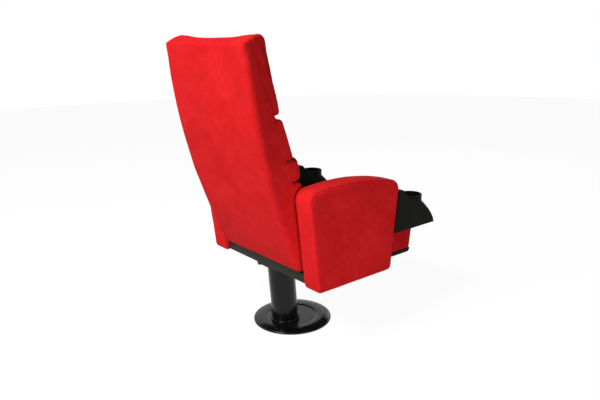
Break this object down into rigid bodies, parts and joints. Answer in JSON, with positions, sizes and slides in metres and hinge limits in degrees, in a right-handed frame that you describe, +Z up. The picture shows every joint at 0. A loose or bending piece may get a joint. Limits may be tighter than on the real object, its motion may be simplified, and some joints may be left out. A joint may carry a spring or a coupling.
{
  "type": "tip-up auditorium seat",
  "caption": "Upholstered auditorium seat with a high segmented back, padded arm panels with cup holders and a tip-up cushion, on a round-based column.",
  "frame": {"origin": "centre of the round base's underside, on the floor, which is also the centre of the floor bolt circle", "axes": "+Z up; the sitter faces -Y; +X is the sitter's left; the seat is the same on both sides of X = 0"},
  "size_m": [0.684, 0.8362, 1.125],
  "materials": {
    "red_cloth": "short-pile red microfibre, matt",
    "black_gloss": "gloss black powder coat",
    "black_steel": "satin black paint",
    "beam_paint": "satin dark olive-brown paint",
    "bolt_steel": "zinc-plated, dull",
    "pin_steel": "ground steel",
    "buffer_rubber": "matt black",
    "bush_plastic": "natural off-white",
    "black_plastic": "fine-textured black",
    "webbing": "woven black elastic",
    "plywood": "raw plywood"
  },
  "bodies": {
    "stand": {"arm_core_left": "plywood", "arm_core_right": "plywood", "arm_cover_left": "red_cloth", "arm_cover_right": "red_cloth", "back_board": "plywood", "back_cover": "red_cloth", "back_upright_left": "black_steel", "back_upright_right": "black_steel", "base_cover": "black_gloss", "base_plate": "black_steel", "beam_bolts": "beam_paint", "beam_nuts": "bolt_steel", "column": "black_gloss", "column_top_plate": "beam_paint", "core_screws_left": "bolt_steel", "core_screws_right": "bolt_steel", "cross_beam": "beam_paint", "cup_holder_left": "black_plastic", "cup_holder_right": "black_plastic", "cup_screws_left": "bolt_steel", "cup_screws_right": "bolt_steel", "end_bolts_left": "bolt_steel", "end_bolts_right": "bolt_steel", "foot_bolts": "bolt_steel", "foot_collar": "black_gloss", "headrest_cushion": "red_cloth", "lower_back_cushion": "red_cloth", "lumbar_cushion": "red_cloth", "pivot_pin_left": "pin_steel", "pivot_pin_right": "pin_steel", "side_standard_left": "black_steel", "side_standard_right": "black_steel", "stop_buffer_left": "buffer_rubber", "stop_buffer_right": "buffer_rubber", "stop_pin_left": "pin_steel", "stop_pin_right": "pin_steel", "upper_back_cushion": "red_cloth", "upright_screws": "bolt_steel"},
    "seat": {"hinge_bolts_left": "bolt_steel", "hinge_bolts_right": "bolt_steel", "hinge_plate_left": "black_steel", "hinge_plate_right": "black_steel", "pan_screws": "bolt_steel", "pivot_bush_left": "bush_plastic", "pivot_bush_right": "bush_plastic", "seat_cushion": "red_cloth", "seat_frame": "black_steel", "seat_pan": "black_plastic", "seat_straps": "webbing"}
  },
  "joints": [
    {"name": "seat_tip", "type": "hinge", "parent": "stand", "child": "seat", "pos_m": [0, -0.04, 0.345], "axis": [-1, 0, 0], "range_deg": [0, 66]}
  ]
}
